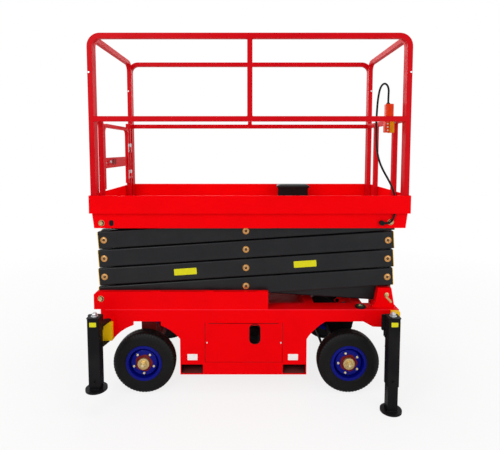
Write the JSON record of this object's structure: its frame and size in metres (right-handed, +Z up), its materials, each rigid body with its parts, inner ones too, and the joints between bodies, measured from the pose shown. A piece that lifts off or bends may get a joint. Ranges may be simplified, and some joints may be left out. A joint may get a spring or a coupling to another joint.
{
  "type": "towable scissor lift",
  "caption": "Towable scissor lift with a railed platform, folded steel scissor arms, a hydraulic cylinder, four wheels and swing-out stabiliser legs.",
  "frame": {"origin": "centre of the machine on the ground under it", "axes": "+X towards the steered, tow-eye end; +Y towards the left side; +Z up"},
  "size_m": [2, 1.372, 2.28],
  "materials": {
    "red_paint": "gloss paint",
    "dark_arm": "satin paint",
    "black_steel": "satin paint",
    "marker_yellow": "gloss paint",
    "bronze": "turned",
    "zinc": "zinc plated",
    "rod_chrome": "ground",
    "rim_blue": "gloss paint",
    "tyre_rubber": "matt",
    "deck_plate": "painted plate",
    "unit_block": "plain",
    "handset_case": "moulded",
    "box_case": "moulded",
    "black_rubber": "matt",
    "cable_sheath": "satin"
  },
  "bodies": {
    "chassis": {"chassis_frame": "red_paint", "roller_channels": "red_paint", "arch_plates": "red_paint", "power_box": "red_paint", "box_covers": "red_paint", "power_unit": "unit_block", "pivot_brackets": "red_paint", "rear_axle": "red_paint", "front_axle": "black_steel", "leg_blocks": "marker_yellow"},
    "tie_rod": {"tie_rod": "black_steel"},
    "knuckle_right": {"knuckle_right": "black_steel"},
    "knuckle_left": {"knuckle_left": "black_steel"},
    "platform": {"platform_frame": "red_paint", "platform_deck": "deck_plate", "toe_boards": "red_paint", "guard_right": "red_paint", "guard_left": "red_paint", "guard_front": "red_paint", "guard_rear": "red_paint", "gate_hinges": "zinc", "handset": "handset_case", "deck_box": "box_case", "grommet": "black_rubber", "cable": "cable_sheath"},
    "gate": {"gate": "red_paint"},
    "cylinder_barrel": {"cylinder_barrel": "black_steel"},
    "cylinder_rod": {"cylinder_rod": "rod_chrome"},
    "wheel_front_right": {"tyre_front_right": "tyre_rubber", "rim_front_right": "rim_blue"},
    "leg_swing_front_right": {"leg_outer_front_right": "black_steel"},
    "leg_slide_front_right": {"leg_inner_front_right": "black_steel"},
    "wheel_front_left": {"tyre_front_left": "tyre_rubber", "rim_front_left": "rim_blue"},
    "leg_swing_front_left": {"leg_outer_front_left": "black_steel"},
    "leg_slide_front_left": {"leg_inner_front_left": "black_steel"},
    "wheel_rear_right": {"tyre_rear_right": "tyre_rubber", "rim_rear_right": "rim_blue"},
    "leg_swing_rear_right": {"leg_outer_rear_right": "black_steel"},
    "leg_slide_rear_right": {"leg_inner_rear_right": "black_steel"},
    "wheel_rear_left": {"tyre_rear_left": "tyre_rubber", "rim_rear_left": "rim_blue"},
    "leg_swing_rear_left": {"leg_outer_rear_left": "black_steel"},
    "leg_slide_rear_left": {"leg_inner_rear_left": "black_steel"},
    "inner_1": {"inner_frame_1": "dark_arm"},
    "outer_1": {"outer_arms_1": "dark_arm", "bushes_1": "bronze", "lower_rollers": "zinc"},
    "inner_2": {"inner_frame_2": "dark_arm"},
    "outer_2": {"outer_arms_2": "dark_arm", "bushes_2": "bronze"},
    "inner_3": {"inner_frame_3": "dark_arm"},
    "outer_3": {"outer_arms_3": "dark_arm", "bushes_3": "bronze"},
    "inner_4": {"inner_frame_4": "dark_arm", "upper_rollers": "zinc"},
    "outer_4": {"outer_arms_4": "dark_arm", "bushes_4": "bronze"}
  },
  "joints": [
    {"name": "lift", "type": "hinge", "parent": "chassis", "child": "inner_1", "pos_m": [0.885, 0, 0.638], "axis": [0, 1, 0], "range_deg": [0, 43.24]},
    {"name": "outer_1_pivot", "type": "hinge", "parent": "inner_1", "child": "outer_1", "pos_m": [-0.02504, 0, 0.69775], "axis": [0, 1, 0], "range_deg": [-86.48, 0]},
    {"name": "inner_2_pivot", "type": "hinge", "parent": "outer_1", "child": "inner_2", "pos_m": [0.885, 0, 0.7575], "axis": [0, 1, 0], "range_deg": [0, 86.48]},
    {"name": "outer_2_pivot", "type": "hinge", "parent": "inner_2", "child": "outer_2", "pos_m": [-0.02504, 0, 0.81725], "axis": [0, 1, 0], "range_deg": [-86.48, 0]},
    {"name": "inner_3_pivot", "type": "hinge", "parent": "outer_2", "child": "inner_3", "pos_m": [0.885, 0, 0.877], "axis": [0, 1, 0], "range_deg": [0, 86.48]},
    {"name": "outer_3_pivot", "type": "hinge", "parent": "inner_3", "child": "outer_3", "pos_m": [-0.02504, 0, 0.93675], "axis": [0, 1, 0], "range_deg": [-86.48, 0]},
    {"name": "inner_4_pivot", "type": "hinge", "parent": "outer_3", "child": "inner_4", "pos_m": [0.885, 0, 0.9965], "axis": [0, 1, 0], "range_deg": [0, 86.48]},
    {"name": "outer_4_pivot", "type": "hinge", "parent": "inner_4", "child": "outer_4", "pos_m": [-0.02504, 0, 1.05625], "axis": [0, 1, 0], "range_deg": [-86.48, 0]},
    {"name": "platform_pivot", "type": "hinge", "parent": "outer_4", "child": "platform", "pos_m": [0.885, 0, 1.116], "axis": [0, 1, 0], "range_deg": [0, 43.24]},
    {"name": "cylinder_foot", "type": "hinge", "parent": "chassis", "child": "cylinder_barrel", "pos_m": [0.64, 0, 0.47], "axis": [0, 1, 0], "range_deg": [0, 44.91]},
    {"name": "cylinder_stroke", "type": "slide", "parent": "cylinder_barrel", "child": "cylinder_rod", "axis": [-0.8461, 0, 0.5331], "range_m": [0, 0.2178]},
    {"name": "wheel_front_right_spin", "type": "hinge", "parent": "knuckle_right", "child": "wheel_front_right", "pos_m": [0.638, -0.393, 0.2], "axis": [0, 1, 0], "continuous": true},
    {"name": "wheel_front_left_spin", "type": "hinge", "parent": "knuckle_left", "child": "wheel_front_left", "pos_m": [0.638, 0.393, 0.2], "axis": [0, 1, 0], "continuous": true},
    {"name": "wheel_rear_right_spin", "type": "hinge", "parent": "chassis", "child": "wheel_rear_right", "pos_m": [-0.684, -0.393, 0.2], "axis": [0, 1, 0], "continuous": true},
    {"name": "wheel_rear_left_spin", "type": "hinge", "parent": "chassis", "child": "wheel_rear_left", "pos_m": [-0.684, 0.393, 0.2], "axis": [0, 1, 0], "continuous": true},
    {"name": "steer", "type": "hinge", "parent": "chassis", "child": "knuckle_right", "pos_m": [0.638, -0.296, 0.2], "axis": [0, 0, 1], "range_deg": [-25, 25]},
    {"name": "steer_left", "type": "hinge", "parent": "chassis", "child": "knuckle_left", "pos_m": [0.638, 0.296, 0.2], "axis": [0, 0, 1], "range_deg": [-25, 25]},
    {"name": "tie_rod_pivot", "type": "hinge", "parent": "knuckle_right", "child": "tie_rod", "pos_m": [0.528, -0.296, 0.148], "axis": [0, 0, 1], "range_deg": [-25, 25]},
    {"name": "gate_swing", "type": "hinge", "parent": "platform", "child": "gate", "pos_m": [-0.954, 0.3175, 1.53], "axis": [0, 0, 1], "range_deg": [0, 90]},
    {"name": "leg_swing_front_right", "type": "hinge", "parent": "chassis", "child": "leg_swing_front_right", "pos_m": [0.894, -0.498, 0.4485], "axis": [0, 0, -1], "range_deg": [-90, 0]},
    {"name": "leg_slide_front_right", "type": "slide", "parent": "leg_swing_front_right", "child": "leg_slide_front_right", "axis": [0, 0, -1], "range_m": [-0.105, 0.045]},
    {"name": "leg_swing_front_left", "type": "hinge", "parent": "chassis", "child": "leg_swing_front_left", "pos_m": [0.894, 0.498, 0.4485], "axis": [0, 0, 1], "range_deg": [-90, 0]},
    {"name": "leg_slide_front_left", "type": "slide", "parent": "leg_swing_front_left", "child": "leg_slide_front_left", "axis": [0, 0, -1], "range_m": [-0.105, 0.045]},
    {"name": "leg_swing_rear_right", "type": "hinge", "parent": "chassis", "child": "leg_swing_rear_right", "pos_m": [-0.894, -0.498, 0.4485], "axis": [0, 0, 1], "range_deg": [-60, 0]},
    {"name": "leg_slide_rear_right", "type": "slide", "parent": "leg_swing_rear_right", "child": "leg_slide_rear_right", "axis": [0, 0, -1], "range_m": [0, 0.15]},
    {"name": "leg_swing_rear_left", "type": "hinge", "parent": "chassis", "child": "leg_swing_rear_left", "pos_m": [-0.894, 0.498, 0.4485], "axis": [0, 0, -1], "range_deg": [-60, 0]},
    {"name": "leg_slide_rear_left", "type": "slide", "parent": "leg_swing_rear_left", "child": "leg_slide_rear_left", "axis": [0, 0, -1], "range_m": [0, 0.15]}
  ],
  "couplings": [
    {"joint": "outer_1_pivot", "follows": "lift", "ratio": -2},
    {"joint": "inner_2_pivot", "follows": "lift", "ratio": 2},
    {"joint": "outer_2_pivot", "follows": "lift", "ratio": -2},
    {"joint": "inner_3_pivot", "follows": "lift", "ratio": 2},
    {"joint": "outer_3_pivot", "follows": "lift", "ratio": -2},
    {"joint": "inner_4_pivot", "follows": "lift", "ratio": 2},
    {"joint": "outer_4_pivot", "follows": "lift", "ratio": -2},
    {"joint": "platform_pivot", "follows": "lift", "ratio": 1},
    {"joint": "cylinder_foot", "follows": "lift", "ratio": 1.0375},
    {"joint": "cylinder_stroke", "follows": "lift", "m_per_rad": 0.288},
    {"joint": "steer_left", "follows": "steer", "ratio": 1},
    {"joint": "tie_rod_pivot", "follows": "steer", "ratio": -1}
  ]
}
